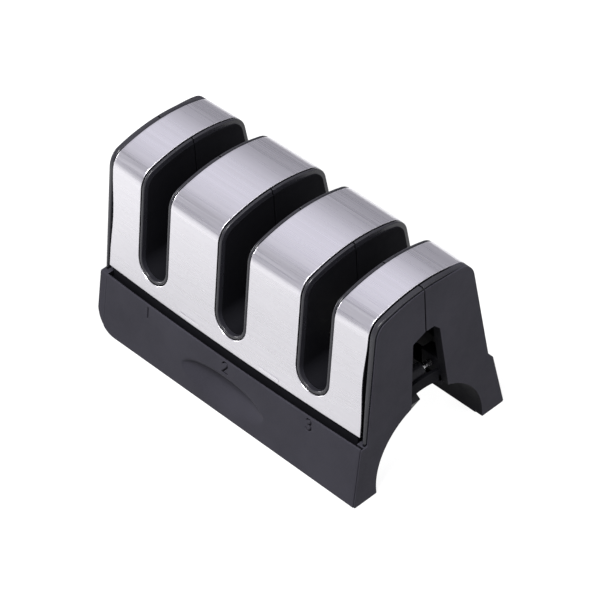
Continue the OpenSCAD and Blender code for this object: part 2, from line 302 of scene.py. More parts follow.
# ---------------------------------------------------------------- a curved sheet with the three slot openings in it
def steel_end(z):
    """Half length of the steel cover at a height: its cut edge draws in a little halfway up the flank."""
    return 39.52 - 0.68 * math.exp(-((z - 31.0) / 7.5) ** 2) - 0.16 * min(max((z - 41.0) / 4.0, 0.0), 1.0)


def sheet(d0, t, rho, end, zlow, R, both=False, n_col=22, seam=True, flat=0.35):
    edge = [0.0] + [rho * (1 - math.cos(math.pi / 2 * k / 4)) for k in range(1, 5)]
    edge = sorted(set(round(e, 5) for e in edge))
    es = [R + e for e in edge] + [R + rho + flat]
    eL = es[-1]
    arcs = [math.pi / 2 * k / 14 for k in range(15)]
    ups = upper_rows(seam=tuple(edge) + (rho + flat,) if seam else (0.0, 0.3))
    if not seam or both:
        ups = [(r, 99.0) for r, _ in ups]
    lows = [zlow + e for e in edge] + [zlow + rho + flat]
    z_top = SLOT_Z - eL
    lows += list(np.linspace(lows[-1], z_top, 6)[1:])
    S_v, S_d, S_f = [], [], []
    count = [0]

    def patch(P, N, D):
        P, N, D = np.array(P), np.array(N), np.array(D)
        m, n = D.shape
        base = count[0]
        S_v.append(np.concatenate([P.reshape(-1, 3), N.reshape(-1, 3)], 1))
        S_d.append(D.reshape(-1))
        for i in range(m - 1):
            for j in range(n - 1):
                S_f.append((base + i * n + j, base + i * n + j + 1, base + (i + 1) * n + j + 1, base + (i + 1) * n + j))
        count[0] += m * n

    def pt(x, row):
        return at(x, row, 0.0)

    def nm(row):
        return (0.0, row[2], row[3])

    def columns(xl, xr, left_end, right_end):
        a = [xl + e for e in edge] + [xl + rho + flat] if left_end else [xl]
        b = [xr - rho - flat] + [xr - e for e in reversed(edge)] if right_end else [xr]
        mid = list(np.linspace(a[-1], b[0], n_col + 1)[1:-1])
        return a + mid + b

    def end_d(x, z):
        return end(z) - abs(x)

    k_rows = []          # rows above the slot bottoms: (function of e -> (dx, row), seam distance)
    for a in arcs[:-1]:
        k_rows.append((lambda e, a=a: (e * math.sin(a), row_flank(SLOT_Z - e * math.cos(a))), 99.0))
    for r, s in ups:
        k_rows.append((lambda e, r=r: (e, r), s))
    if both:
        mid = len(k_rows)
        back = []
        for fn, s in reversed(k_rows[:-1]):
            back.append((lambda e, fn=fn: (lambda q: (q[0], (-q[1][0], q[1][1], -q[1][2], q[1][3])))(fn(e)), s))
        k_rows = k_rows + back
    bounds_x = [None] + list(SLOTS) + [None]
    for k in range(4):
        P, N, D = [], [], []
        for fn, s in k_rows:
            dx, row = fn(eL)
            xl = -end(row[1]) if k == 0 else bounds_x[k] + dx
            xr = end(row[1]) if k == 3 else bounds_x[k + 1] - dx
            xs = columns(xl, xr, k == 0, k == 3)
            P.append([pt(x, row) for x in xs])
            N.append([nm(row)] * len(xs))
            D.append([min(end_d(x, row[1]), s) for x in xs])
        patch(P, N, D)
    for xk in SLOTS:
        for sx in (-1, 1):
            P, N, D = [], [], []
            for fn, s in k_rows:
                p, n_, d_ = [], [], []
                for e in es:
                    dx, row = fn(e)
                    p.append(pt(xk + sx * dx, row))
                    n_.append(nm(row))
                    d_.append(min(e - R, s))
                P.append(p); N.append(n_); D.append(d_)
            patch(P, N, D)
    for side in ((1, -1) if both else (1,)):
        P, N, D = [], [], []
        for z in lows:
            xs = []
            for k in range(4):
                c = columns(-end(z) if k == 0 else bounds_x[k], end(z) if k == 3 else bounds_x[k + 1], k == 0, k == 3)
                xs += c if k == 0 else c[1:]
            y, zz, ny, nz = row_flank(z)
            row = (side * y, zz, side * ny, nz)
            P.append([pt(x, row) for x in xs])
            N.append([nm(row)] * len(xs))
            D.append([min(end_d(x, z), z - zlow) for x in xs])
        patch(P, N, D)
    VN = np.concatenate(S_v)
    D = np.concatenate(S_d)
    key = np.round(VN[:, :3], 4)
    _, first, inv = np.unique(key, axis=0, return_index=True, return_inverse=True)
    inv = inv.reshape(-1)
    P, N, D = VN[first, :3], VN[first, 3:], D[first]
    F = []
    for f in S_f:
        g = [int(inv[i]) for i in f]
        h = [g[i] for i in range(4) if g[i] != g[i - 1]]
        if len(h) >= 3:
            F.append(tuple(h))
    D = np.clip(D, 0, rho)
    do = rho - np.sqrt(np.maximum(rho ** 2 - (rho - D) ** 2, 0))
    outer = P - N * (d0 + do)[:, None]
    inner = P - N * (d0 + t - do)[:, None]
    # orient faces the same way round, then find the boundary
    out = []
    for f in F:
        a, b, c = P[f[0]], P[f[1]], P[f[2]]
        if np.cross(b - a, c - a) @ N[f[0]] < 0:
            f = f[::-1]
        out.append(f)
    edges = {}
    for f in out:
        for i in range(len(f)):
            e = (f[i], f[(i + 1) % len(f)])
            edges[e] = edges.get(e, 0) + 1
    bnd = [e for e in edges if (e[1], e[0]) not in edges]
    n = len(P)
    faces = list(out) + [tuple(i + n for i in reversed(f)) for f in out]
    faces += [(b, a, a + n, b + n) for a, b in bnd]
    return np.concatenate([outer, inner]), faces


# ---------------------------------------------------------------- pieces of a housing half (front: y <= 0)
def slot_path():
    """Rows all the way round a slot opening, from the crown down one side and up the other: (side, fn(e) -> (dx, row), distance from the middle)."""
    rows = []
    ups = upper_rows()
    for r, s in reversed(ups):
        rows.append((-1, (lambda e, r=r: (e, r)), s))
    for a in [math.pi / 2 * k / 16 for k in range(15, 0, -1)]:
        rows.append((-1, (lambda e, a=a: (e * math.sin(a), row_flank(SLOT_Z - e * math.cos(a)))), 99.0))
    rows.append((1, (lambda e: (0.0, row_flank(SLOT_Z - e))), 99.0))
    for a in [math.pi / 2 * k / 16 for k in range(1, 16)]:
        rows.append((1, (lambda e, a=a: (e * math.sin(a), row_flank(SLOT_Z - e * math.cos(a)))), 99.0))
    for r, s in ups:
        rows.append((1, (lambda e, r=r: (e, r)), s))
    return rows


def slot_bead(xk):
    sec = fillet([(4.04, 2.1), (4.04, 0.10), (4.74, 0.14), (4.74, 2.1)], [0, 0.26, 0.22, 0], 5)
    rings = []
    for side, fn, s in slot_path():
        cut = 0.0 if s > 0.25 else 0.16 * (1 - s / 0.25) ** 1.5
        ring = inset(sec, cut) if cut else sec
        out = []
        for e, d in ring:
            dx, row = fn(e)
            out.append(at(xk + side * dx, row, d))
        rings.append(out)
    return Solid().loft(np.array(rings))


def slot_liner(xk, d=1.25):
    """Walls of a slot: they stop short of the wheels, or of the blade holder, in the middle of its lower part."""
    e1, e2 = 3.8, 5.3
    z_free, y_free = (30.7, -4.15) if xk == SLOTS[0] else (SLOT_Z, -5.0)
    rows = []
    path = slot_path()
    for i, (side, fn, s) in enumerate(path):
        z = fn(e1)[1][1]
        low = z < z_free - 0.01
        prev_low = i > 0 and path[i - 1][1](e1)[1][1] < z_free - 0.01
        if i > 0 and prev_low != low:
            zz = (lambda e: (e, row_flank(z_free)))
            rows.append((side, zz, s, y_free if prev_low else 0.0))
            rows.append((side, zz, s, 0.0 if prev_low else y_free))
        rows.append((side, fn, s, y_free if low else 0.0))
    rings = []
    for side, fn, s, y_in in rows:
        ring = []
        for e, deep in ((e1, 0), (e1, 1), (e1, 2), (e2, 2), (e2, 1), (e2, 0)):
            dx, row = fn(e)
            x = xk + side * dx
            p = at(x, row, d)
            ring.append((x, min(p[1] + (y_in - p[1]) * deep / 2, 0.0), p[2]))
        rings.append(ring)
    return Solid().loft(np.array(rings))


def end_bead(sgn):
    """Raised bead around an end wall: narrower down the flanks, where a deep gap parts it from the steel."""
    rows = [(row_flank(z), 99.0) for z in np.linspace(14.2, SLOT_Z, 8)[:-1]] + upper_rows(n_flank=12)
    rings = []
    for row, s in rows:
        a = float(np.interp(row[1], [15.0, 18.0, 22.0, 28.0, 35.0, 41.0, 44.5, 46.5], [40.22, 40.16, 40.02, 39.88, 39.82, 39.76, 39.66, 39.60]))
        sec = fillet([(a, 2.0), (a, 0.12), (40.90, 0.14), (40.90, 2.0)], [0, 0.30, 0.30, 0], 6)
        cut = 0.0 if s > 0.25 else 0.16 * (1 - s / 0.25) ** 1.5
        ring = inset(sec, cut) if cut else sec
        rings.append([at(sgn * x, row, d) for x, d in ring])
    return Solid().loft(np.array(rings))


def notch_half(z, rear):
    return 4.05 + (33.9 - z) * 0.1111 if rear else 3.75 + (34.4 - z) * 0.0646


def arch_meets_notch(rear):
    lo, hi = 15.0, 17.5
    for _ in range(50):
        z = (lo + hi) / 2
        if notch_half(z, rear) ** 2 + (z - ARCH_Z) ** 2 > ARCH_R ** 2:
            hi = z
        else:
            lo = z
    return z


def plate_outline(x, rear, d, leg):
    """Outline of an end wall at x as (y, z) points, from the crown down the outside and back up the inside.
    d is its depth under the bead, and leg how far its leg stands back from the skirt's face."""
    zb = foot_z(x)
    P, Rr, W = [], [], []

    def put(y, z, r=0.0, w=1.0):
        P.append((y, z)); Rr.append(r); W.append(w)
    rows = [r for r, _ in reversed(upper_rows(n_flank=10, seam=(0.0, 0.3)))]
    for r in rows:
        if rear:
            t = min(max((-r[0] - 4.0) / 9.0, 0.0), 1.0)
            p = at(x, r, d + (min(d, 0.06) - d) * t * t * (3 - 2 * t))
        else:
            p = at(x, r, d)
        put(p[1], p[2])
    P[0] = (0.0, P[0][1])
    if rear:
        d = min(d, 0.06)
    z_end = REAR_Z if rear else LEDGE
    for z in np.linspace(SLOT_Z, z_end, 6)[1:-1]:
        p = at(x, row_flank(z), d)
        put(p[1], p[2])
    p = at(x, row_flank(z_end + d * math.sin(LA)), d)
    put(p[1], z_end, 0.2)
    if rear:
        leg = 0.0
    put(-top_y(x) + leg, LEDGE, 0.3)
    for z in np.linspace(LEDGE, zb, 8)[1:-1]:
        put(-leg_y(x, z) + leg, z)
    put(-leg_y(x, zb) + leg, zb, 0.42)
    ya = math.sqrt(ARCH_R ** 2 - (zb - ARCH_Z) ** 2)
    put(-ya, zb, 0.3)
    zn = arch_meets_notch(rear)
    a0 = math.atan2(zb - ARCH_Z, ya)
    a1 = math.atan2(zn - ARCH_Z, notch_half(zn, rear))
    for a in np.linspace(a0, a1, 22)[1:-1]:
        put(-ARCH_R * math.cos(a), ARCH_Z + ARCH_R * math.sin(a))
    put(-notch_half(zn, rear), zn, 0.3)
    zt = 33.9 if rear else 34.4
    for z in np.linspace(zn, zt, 4)[1:-1]:
        put(-notch_half(z, rear), z)
    put(-notch_half(zt, rear), zt, 0.2)
    put(-2.5 if rear else -2.0, 35.55 if rear else 35.0, 0.2 if rear else 0.0)
    put(0.0, 35.7)
    put(0.0, 40.0, 0.0, 0.8)
    W[0] = 0.8
    return fillet(P, Rr, 5, W)


def end_plate(sgn, rear):
    """An end wall: set back behind the bead, with a thin lip at its face, so that a groove runs all round it."""
    leg = 0.9 if sgn > 0 else 0.0
    st = [(x, 0.0, 1.4, leg) for x in (39.1, 39.6, 40.1, 40.6, 41.07)]
    st += [(HX - b, d, 0.68, 0.0) for b, d in [(HX - 41.07, 0.0)] + round_over(0.13, 4)]
    st.append((HX, 0.15, 0.68, 0.0))
    rings = []
    for x, d, deep, lg in st:
        poly, wt = plate_outline(sgn * x, rear, deep, lg)
        poly = inset(poly, d * wt)
        rings.append(np.hstack([np.full((len(poly), 1), sgn * x), poly]))
    return Solid().loft(np.array(rings))


def rim(sgn):
    """The rim of the saddle behind the notch of an end wall."""
    pts = []
    for R, order in ((ARCH_R, 1), (ARCH_R + 3.0, -1)):
        a0, a1 = math.acos(5.6 / R), math.pi / 2
        for a in np.linspace(a0, a1, 14)[::order]:
            pts.append((-R * math.cos(a), ARCH_Z + R * math.sin(a)))
    return prism(np.array(pts), "x", sgn * 38.42, sgn * 39.2, 0.0, 0.0)


# the numerals as strokes in the skirt's face: lists of segments (x, z)
def arc_pts(cx, cz, rx, rz, a0, a1, n=14):
    return [(cx + rx * math.cos(rad(a0 + (a1 - a0) * k / n)), cz + rz * math.sin(rad(a0 + (a1 - a0) * k / n))) for k in range(n + 1)]


def strokes():
    out = []
    out.append([(-24.85, 14.35), (-24.85, 11.75)])
    top = arc_pts(0.30, 13.65, 0.72, 0.72, 165, -35)
    out.append(top + [(-0.42, 11.7), (1.12, 11.7)])
    up = arc_pts(26.0, 13.72, 0.66, 0.70, 150, -90)
    lo = arc_pts(26.0, 12.36, 0.76, 0.76, 90, -150)
    out.append(up)
    out.append(lo)
    return out


def stroke_depth(X, Z, half=0.21, soft=0.11, depth=0.28):
    best = np.full(X.shape, 9.0)
    for line in strokes():
        for (x0, z0), (x1, z1) in zip(line[:-1], line[1:]):
            dx, dz = x1 - x0, z1 - z0
            t = np.clip(((X - x0) * dx + (Z - z0) * dz) / (dx * dx + dz * dz), 0, 1)
            best = np.minimum(best, np.hypot(X - x0 - t * dx, Z - z0 - t * dz))
    u = np.clip((half + soft / 2 - best) / soft, 0, 1)
    return depth * u * u * (3 - 2 * u)


def rest_depth(X, Z):
    """A scoop: steep under its upper edge, with a long slope below."""
    t = np.clip((Z - 6.3) / 4.6, -1, 1)
    u = (X + 0.2) / 12.9
    h = np.sqrt(np.clip(1 - u * u, 1e-6, 1))
    v = np.clip(t / h, -1, 1)
    k = np.where(v > 0.5, np.clip((1 - v) / 0.5, 0, 1), np.clip((1 + v) / 1.5, 0, 1))
    k = np.where(np.abs(t) < h, k, 0.0)
    return 1.9 * h ** 1.5 * k * k * (3 - 2 * k)


def skirt(digits):
    fo, ft = 0.4, 0.42
    z_mid = sorted(set([round(z, 4) for z in list(np.arange(1.2, 11.0, 0.32)) + list(np.arange(11.0, 14.6, 0.075 if digits else 0.4))]))
    z_rows = [0.55, 0.85] + z_mid + [14.68]
    xs = list(-HX + NOSE - NOSE * np.sin(np.linspace(math.asin((NOSE - 2.25) / NOSE), 0, 9)))
    xs += list(np.arange(-34.6, -25.9, 0.9))
    if digits:
        xs += list(np.arange(-25.4, -24.3, 0.05))
        xs += list(np.arange(-23.9, -14.0, 0.8))
        xs += list(np.arange(-13.6, -0.9, 0.3)) + list(np.arange(-0.8, 1.55, 0.055)) + list(np.arange(1.7, 13.7, 0.3))
        xs += list(np.arange(14.2, 24.6, 0.8)) + list(np.arange(25.05, 27.0, 0.055)) + list(np.arange(27.2, 37.6, 0.9))
    else:
        xs += list(np.arange(-26.6, -14.0, 0.8)) + list(np.arange(-13.6, 13.7, 0.3)) + list(np.arange(14.2, 37.6, 0.8))
    x_end = 40.87
    xs += list(np.arange(37.6, 40.6, 0.5))
    xs = [x for x in sorted(set(round(float(x), 4) for x in xs)) if x < x_end - 0.25]
    stations = [(x, 0.0) for x in xs] + [(x_end - b, d) for b, d in round_over(0.14, 4)] + [(x_end, 0.17)]
    rings = []
    for x, d in stations:
        zb = foot_z(x)
        P, Rr = [], []

        def put(y, z, r=0.0):
            P.append((y, z)); Rr.append(r)
        put(-leg_y(x, zb) + 2.2, zb)
        put(-leg_y(x, zb), zb, fo)
        zs = np.array(z_rows)
        z_up = 14.68 if digits else 14.3
        if zb > 0 or not digits:
            zs = zb + 0.55 + (zs - 0.55) * (z_up - zb - 0.55) / (14.68 - 0.55)
        ys = -np.array([leg_y(x, z) for z in zs])
        lean = math.atan((FOOT - top_y(x)) / LEDGE)
        dep = rest_depth(np.full(len(zs), x), zs)
        if digits:
            dep = dep + stroke_depth(np.full(len(zs), x), zs)
        if zb > 0 or d > 0:
            dep = dep * 0
        for y, z, q in zip(ys, zs, dep):
            put(y + q * math.cos(lean), z - q * math.sin(lean))
        if digits:
            put(-top_y(x), LEDGE, 0.26)
            put(-top_y(x) + 0.50, LEDGE, 0.18)
            put(-top_y(x) + 0.56, 13.5)
            put(-leg_y(x, 13.5) + 2.2, 13.5)
        else:
            put(-top_y(x), LEDGE, ft)
            put(-17.7, LEDGE + 0.02)
            put(-17.7, 14.35)
            put(-leg_y(x, 14.35) + 2.2, 14.35)
        poly = fillet(P, Rr, 6)
        poly = inset(poly, d)
        rings.append(np.hstack([np.full((len(poly), 1), x), poly]))
    return Solid().loft(np.array(rings))


def saddle_skin():
    xs = [-39.3] + list(-HX + NOSE - NOSE * np.sin(np.linspace(math.asin((39.1 - 35.3) / NOSE), 0, 7))) + [-20.0, 0.0, 20.0, 39.3]
    rings = []
    for x in sorted(set(round(float(v), 4) for v in xs)):
        zb = foot_z(x)
        P = []
        for R, order in ((16.0, 1), (17.5, -1)):
            a0 = math.asin((zb - ARCH_Z) / R)
            a1 = math.acos(5.4 / R)
            aa = np.linspace(a0, a1, 40)
            for a in (aa if order > 0 else aa[::-1]):
                P.append((-R * math.cos(a), ARCH_Z + R * math.sin(a)))
        P = np.array(P)
        rings.append(np.hstack([np.full((len(P), 1), x), P]))
    return Solid().loft(np.array(rings))


def inner_parts():
    """Ribs, bosses, pocket and bearings in the hollow, as a list of solids."""
    out = []
    for x in (-12.5, 12.5):
        z0, z1 = 15.0, 39.2
        P = [(0.0, 19.46), (-5.4, 19.46), (-5.4, 16.9), (-9.5, 15.4), (-flank_y(15.4, 1.5) + 0.2, 15.4), (-flank_y(z1, 1.5) + 0.2, z1), (0.0, z1)]
        out.append(prism(np.array(P), "x", x - 0.7, x + 0.7))
    for x, z in ((-34.6, 39.2), (-12.5, 39.2), (12.5, 39.2), (34.6, 39.2), (-12.5, 24.0), (12.5, 24.0)):
        y = -13.9 if z > 30 else -17.0
        out.append(prism(disc(x, z, 2.7, 40), "y", 0.0, y + (0.5 if abs(x) > 30 else 0.0)))
    for xk in SLOTS[1:]:
        for s in (-1, 1):
            out.append(prism(disc(0.0, 24.5, 3.0, 28, half=-1.0), "x", xk + s * 4.6, xk + s * 8.6, 0, 0))
    u = [(-34.0, 19.46), (-16.0, 19.46), (-16.0, 32.0), (-20.5, 32.0)]
    u += [(-25.0 + 4.5 * math.cos(a), SLOT_Z - 4.5 * math.sin(a)) for a in np.linspace(0, math.pi, 25)]
    u += [(-29.5, 32.0), (-34.0, 32.0)]
    out.append(prism(np.array(u), "y", -4.1, -6.0))
    for x0, x1, r0, r1 in ((-34.0, -31.5, -34.0, -29.6), (-18.5, -16.0, -20.4, -16.0)):
        out.append(prism(rect(-4.4, 0.0, 19.46, 31.9), "x", x0 + 0.02, x1))
        out.append(prism(rect(-4.3, 0.0, 30.6, 31.95), "x", r0 + 0.01, r1 - 0.01))
    out.append(prism(rect(-5.95, -5.42, 16.3, 20.0), "x", -34.0, -16.0))
    for s in (-1, 1):
        P = rect(-8.6, -5.4, 15.3, 23.0, 0.3)
        out.append(prism(P, "x", s * 34.2, s * 39.3))
    return out


def gather(parts, mats=None):
    """Several solids as one (points, faces, material of each face) group."""
    V, F, M, n = [], [], [], 0
    for k, p in enumerate(parts):
        v, f = p.welded() if isinstance(p, Solid) else p
        V.append(v)
        F += [tuple(i + n for i in g) for g in f]
        M += [mats[k] if mats else 0] * len(f)
        n += len(v)
    return np.concatenate(V), F, M


def finish_mesh(ob, angle=32.0):
    me = ob.data
    me.polygons.foreach_set("use_smooth", [True] * len(me.polygons))
    me.set_sharp_from_angle(angle=rad(angle))
    me.update()


def mark_painted_shade(me, rear):
    """Paint shade: the faces in the seam, the notches, the arch and the channel above the skirt get the much darker
    plastic that stands in for the shade there, and the numerals' strokes get it too.
    """
    n = len(me.polygons)
    c, q, m = np.empty(n * 3), np.empty(n * 3), np.empty(n, dtype=np.int32)
    me.polygons.foreach_get("center", c)
    me.polygons.foreach_get("normal", q)
    me.polygons.foreach_get("material_index", m)
    c, q = c.reshape(-1, 3) / MM, q.reshape(-1, 3)
    x, y, z = np.abs(c[:, 0]), np.abs(c[:, 1]), c[:, 2]
    ny = q[:, 1] * np.sign(c[:, 1])
    r = np.maximum(np.hypot(y, z - ARCH_Z), 1e-6)
    inward = -(ny * y + q[:, 2] * (z - ARCH_Z)) / r
    end = (x > 39.0) & (np.abs(q[:, 0]) < 0.6)
    sel = (y < SEAM + 0.02) & (np.abs(q[:, 1]) > 0.7)
    sel |= (ny < -0.3) & (y > 16.0) & (x < 40.8)
    sel |= (x > 38.9) & (x < 39.3) & (np.abs(q[:, 0]) > 0.9)
    sel |= end & (r < 16.5) & (inward > 0.4)
    sel |= end & (y < 6.8) & (z > 15.0) & (z < 36.3)
    if not rear:
        top = np.array([top_y(float(v)) for v in c[:, 0]])
        sel |= (z > 12.0) & (z < LEDGE - 0.12) & (y < top - 0.38) & (y > 17.0) & (x < 40.9)
        sel |= (stroke_depth(c[:, 0], z) > 0.10) & (y > 17.0) & (q[:, 1] < -0.5)
    m[sel] = 1
    me.polygons.foreach_set("material_index", m)


def half_shell(name, rear):
    # The hood under the steel and every piece inside the housing take slot 1, the painted shade plastic.
    parts = [sheet(0.55, 1.8, 0.12, lambda z: 38.6, 13.2, 4.95)]
    mats = [1]
    outer = [skirt(not rear), end_plate(-1, rear), end_plate(1, rear), end_bead(-1), end_bead(1)] + [slot_bead(x) for x in SLOTS]
    inner = [saddle_skin(), rim(-1), rim(1)] + [slot_liner(x) for x in SLOTS] + inner_parts()
    parts += outer + inner
    mats += [0] * 3 + [2] * (len(outer) - 3) + [1] * len(inner)
    body = to_object(name, gather(parts, mats), rear)
    mark_painted_shade(body.data, rear)
    finish_mesh(body)
    return body


def steel():
    parts = [sheet(0.0, 0.5, 0.15, steel_end, 16.8, 5.0, both=True, n_col=26, flat=0.5)]
    for x in (-12.5, 12.5):
        for s in (-1, 1):
            y0 = flank_y(17.4, 0.25) - bow(x)
            line = [(y0, 18.2), (y0 + 0.06, 17.5)]
            c = (y0 - 0.62, 17.55)
            line += [(c[0] + 0.62 * math.cos(a), c[1] - 0.62 * math.sin(a)) for a in np.linspace(0.15, math.pi / 2, 6)]
            line += [(y0 - 3.2, c[1] - 0.62)]
            P = np.array(line)
            T = np.gradient(P, axis=0)
            T /= np.linalg.norm(T, axis=1, keepdims=True)
            Nn = np.stack([-T[:, 1], T[:, 0]], 1) * 0.2
            poly = np.concatenate([P + Nn, (P - Nn)[::-1]])
            poly[:, 0] *= s
            parts.append(prism(poly, "x", x - 3.0, x + 3.0))
    body = to_object("steel_cover_skin", gather(parts))
    finish_mesh(body, 35)
    return body


# ---------------------------------------------------------------- materials
class Mat:
    def __init__(self, name, base, rough, metal=0.0, spec=0.5):
        self.m = bpy.data.materials.new(name)
        self.m.use_nodes = True
        self.t = self.m.node_tree
        self.bsdf = self.t.nodes["Principled BSDF"]
        self.bsdf.inputs["Metallic"].default_value = metal
        self.bsdf.inputs["Specular IOR Level"].default_value = spec
        self.base, self.rough = base, rough
        self.coord = self.node("ShaderNodeTexCoord")
        self.col = None
        self.rgh = None
        self.height = []

    def node(self, kind, **kw):
        n = self.t.nodes.new(kind)
        for k, v in kw.items():
            setattr(n, k, v)
        return n

    def link(self, a, b):
        self.t.links.new(a, b)

    def noise(self, scale, detail=3.0, rough=0.5, stretch=None, distortion=0.0):
        """Noise in object space; scale is in features per metre, and stretch squeezes it along X, Y, Z."""
        mp = self.node("ShaderNodeMapping")
        mp.inputs["Scale"].default_value = stretch or (1, 1, 1)
        self.link(self.coord.outputs["Object"], mp.inputs["Vector"])
        n = self.node("ShaderNodeTexNoise")
        n.inputs["Scale"].default_value = scale
        n.inputs["Detail"].default_value = detail
        n.inputs["Roughness"].default_value = rough
        n.inputs["Distortion"].default_value = distortion
        self.link(mp.outputs["Vector"], n.inputs["Vector"])
        return n.outputs["Fac"]

    def ramp(self, fac, lo, hi, a, b):
        r = self.node("ShaderNodeMapRange")
        r.inputs["From Min"].default_value = lo
        r.inputs["From Max"].default_value = hi
        r.inputs["To Min"].default_value = a
        r.inputs["To Max"].default_value = b
        self.link(fac, r.inputs["Value"])
        return r.outputs["Result"]

    def mix(self, fac, a, b):
        m = self.node("ShaderNodeMix", data_type="RGBA")
        self.link(fac, m.inputs["Factor"])
        for s, v in (("A", a), ("B", b)):
            k = [i for i in m.inputs if i.name == s and i.type == "RGBA"][0]
            if isinstance(v, tuple):
                k.default_value = (*v, 1.0)
            else:
                self.link(v, k)
        return [o for o in m.outputs if o.type == "RGBA"][0]

    def math(self, op, a, b):
        m = self.node("ShaderNodeMath", operation=op)
        for i, v in enumerate((a, b)):
            if isinstance(v, (int, float)):
                m.inputs[i].default_value = v
            else:
                self.link(v, m.inputs[i])
        return m.outputs[0]

    def bump(self, fac, dist, strength=1.0):
        self.height.append((fac, dist, strength))

    def edge(self, lo=0.52, hi=0.6):
        """Pale worn edges, from how convex the surface is."""
        g = self.node("ShaderNodeNewGeometry")
        return self.ramp(g.outputs["Pointiness"], lo, hi, 0.0, 1.0)

    def done(self):
        if self.col is not None:
            self.link(self.col, self.bsdf.inputs["Base Color"])
        if self.rgh is not None:
            self.link(self.rgh, self.bsdf.inputs["Roughness"])
        else:
            self.bsdf.inputs["Roughness"].default_value = self.rough
        prev = None
        for fac, dist, strength in self.height:
            b = self.node("ShaderNodeBump")
            b.inputs["Strength"].default_value = strength
            b.inputs["Distance"].default_value = dist
            self.link(fac, b.inputs["Height"])
            if prev is not None:
                self.link(prev, b.inputs["Normal"])
            prev = b.outputs["Normal"]
        if prev is not None:
            self.link(prev, self.bsdf.inputs["Normal"])
        return self.m


def shade(c, k):
    return tuple(min(1.0, x * k) for x in c)


def plastic(name, base, rough=0.52, grain=9000.0, depth=0.000012, vary=0.12, wear=1.35, spec=0.5):
    m = Mat(name, base, rough, 0.0, spec)
    big = m.ramp(m.noise(90.0, 3.0), 0.3, 0.7, 0.0, 1.0)
    c = m.mix(big, shade(base, 1 - vary), shade(base, 1 + vary))
    fine = m.noise(grain, 2.0, 0.6)
    c = m.mix(m.ramp(fine, 0.35, 0.65, 0.0, 0.35), c, shade(base, 1.25))
    c = m.mix(m.math("MULTIPLY", m.edge(), 0.55), c, shade(base, wear))
    m.col = c
    m.rgh = m.math("ADD", m.ramp(m.noise(420.0, 4.0), 0.3, 0.7, rough - 0.06, rough + 0.06), 0.0)
    m.bump(fine, depth, 0.5)
    m.bump(m.noise(900.0, 3.0), depth * 1.5, 0.25)
    return m.done()


def brushed(name, base, rough=0.28, stretch=(0.02, 1.0, 1.0), scale=5200.0, depth=0.000004, vary=0.05, metal=1.0, aniso=0.0, axis="X"):
    m = Mat(name, base, rough, metal)
    s1 = m.noise(scale, 3.0, 0.65, stretch)
    s2 = m.noise(scale * 0.22, 2.0, 0.6, tuple(x * (0.6 if x < 0.5 else 1.0) for x in stretch))
    cloud = m.noise(60.0, 3.0)
    c = m.mix(m.ramp(s1, 0.3, 0.7, 0.0, 1.0), shade(base, 1 - vary), shade(base, 1 + vary))
    c = m.mix(m.ramp(s2, 0.35, 0.65, 0.0, 0.35), c, shade(base, 1 - 1.2 * vary))
    c = m.mix(m.ramp(cloud, 0.35, 0.65, 0.0, 0.3), c, shade(base, 1 + 0.6 * vary))
    c = m.mix(m.math("MULTIPLY", m.edge(0.53, 0.62), 0.5), c, shade(base, 1.2))
    m.col = c
    m.rgh = m.math("ADD", m.ramp(s2, 0.3, 0.7, rough - 0.05, rough + 0.07), m.ramp(s1, 0.3, 0.7, -0.03, 0.03))
    m.bump(s1, depth, 0.6)
    m.bump(s2, depth, 0.2)
    if aniso:
        m.bsdf.inputs["Anisotropic"].default_value = aniso
        t = m.node("ShaderNodeTangent", direction_type="RADIAL", axis=axis)
        m.link(t.outputs["Tangent"], m.bsdf.inputs["Tangent"])
    return m.done()


def gritty(name, base, spark, rough=0.45, scale=9000.0, depth=0.00006, metal=0.6):
    m = Mat(name, base, rough, metal)
    v = m.node("ShaderNodeTexVoronoi")
    v.inputs["Scale"].default_value = scale
    m.link(m.coord.outputs["Object"], v.inputs["Vector"])
    g = m.ramp(v.outputs["Distance"], 0.1, 0.6, 1.0, 0.0)
    c = m.mix(g, base, spark)
    c = m.mix(m.ramp(m.noise(500.0, 4.0), 0.35, 0.7, 0.0, 0.45), c, shade(base, 0.6))
    m.col = c
    m.rgh = m.ramp(g, 0.0, 1.0, rough + 0.2, rough - 0.15)
    m.bump(g, depth, 0.8)
    m.bump(m.noise(2500.0, 3.0), depth, 0.3)
    return m.done()


M_SHELL = plastic("m_shell", (0.0218, 0.0211, 0.0267), 0.47, grain=3400.0, depth=0.000022, spec=0.03)
M_BEAD = plastic("m_shell_bead", (0.0120, 0.0118, 0.0150), 0.30, spec=0.32)
# Painted shade: a much darker plastic, given to faces that lie in shade (seam, notches, arch, channel above the skirt,
# pieces inside), stands in for the shade there.
M_PAINTED_SHADE = plastic("m_shell_painted_shade", (0.0042, 0.0042, 0.0054), 0.7, spec=0.03)
M_STEEL = brushed("m_cover", (0.58, 0.57, 0.60), 0.29, (0.012, 1.0, 1.0), 6500.0, 0.0000025, 0.045, 1.0, 0.35)
M_ZINC = brushed("m_zinc", (0.62, 0.63, 0.64), 0.34, (1, 1, 1), 2500.0, 0.000006, 0.08)
M_HOLDER = plastic("m_holder", (0.03, 0.03, 0.034), 0.5, spec=0.4)
M_CARBIDE = brushed("m_carbide", (0.42, 0.42, 0.44), 0.25, (1.0, 1.0, 0.03), 6000.0, 0.000005, 0.08)
M_DIAMOND = gritty("m_diamond", (0.30, 0.30, 0.32), (0.75, 0.75, 0.78))
M_CERAMIC = gritty("m_ceramic", (0.80, 0.78, 0.73), (0.92, 0.91, 0.88), 0.5, 6000.0, 0.00002, 0.0)
M_HUB = plastic("m_hub", (0.024, 0.024, 0.028), 0.42)
M_AXLE = brushed("m_axle", (0.66, 0.66, 0.67), 0.24, (0.02, 1, 1), 6000.0, 0.000003, 0.05)
